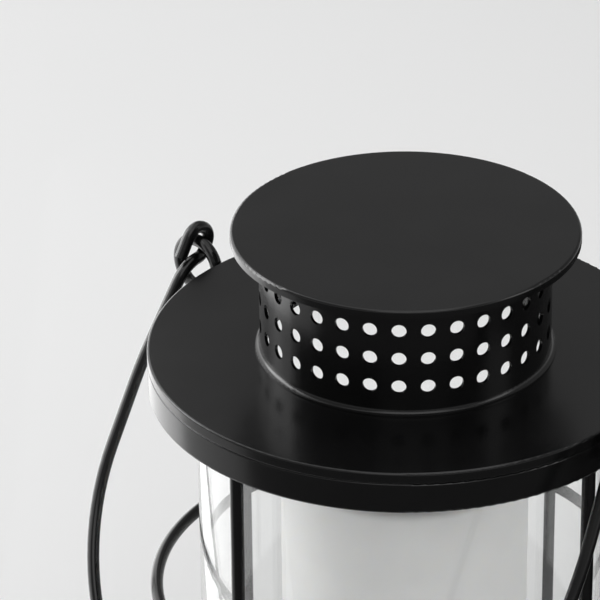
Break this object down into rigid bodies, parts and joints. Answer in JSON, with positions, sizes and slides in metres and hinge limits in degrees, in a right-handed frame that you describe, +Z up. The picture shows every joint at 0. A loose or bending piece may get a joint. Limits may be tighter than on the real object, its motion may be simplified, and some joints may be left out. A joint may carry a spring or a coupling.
{
  "type": "candle lantern",
  "caption": "Round glass lantern for a block candle, with a perforated chimney collar under a flat cap, a lift-off lid, a wire frame and a swinging bail handle.",
  "frame": {"origin": "centre of the base's underside, on the floor", "axes": "+Z up along the lantern's axis, -Y to the front, the handle's hinge line runs from front right to rear left"},
  "size_m": [0.1831, 0.1824, 0.22],
  "materials": {
    "black_coat": "satin black powder coat",
    "clear_glass": "clear, polished",
    "wax": "smooth white wax",
    "wick": "braided cotton, unburnt"
  },
  "bodies": {
    "frame": {"base_plate": "black_coat", "base_band": "black_coat", "upright_front_right": "black_coat", "upright_rear_right": "black_coat", "upright_rear_left": "black_coat", "upright_front_left": "black_coat", "guard_ring": "black_coat", "seat_ring": "black_coat", "top_band": "black_coat", "ear_front_right": "black_coat", "ear_rear_left": "black_coat", "glass_cylinder": "clear_glass", "glass_locating_ring": "black_coat", "candle": "wax", "candle_wick": "wick"},
    "lid": {"lid_plate": "black_coat", "lid_locating_ring": "black_coat", "chimney_collar": "black_coat", "cap_disc": "black_coat"},
    "handle": {"handle": "black_coat"}
  },
  "joints": [
    {"name": "handle_swing", "type": "hinge", "parent": "frame", "child": "handle", "pos_m": [0, 0, 0.18385], "axis": [-0.7193, 0.6947, 0], "range_deg": [0, 297]},
    {"name": "lid_lift", "type": "slide", "parent": "frame", "child": "lid", "axis": [0, 0, 1], "range_m": [0, 0.08]}
  ]
}
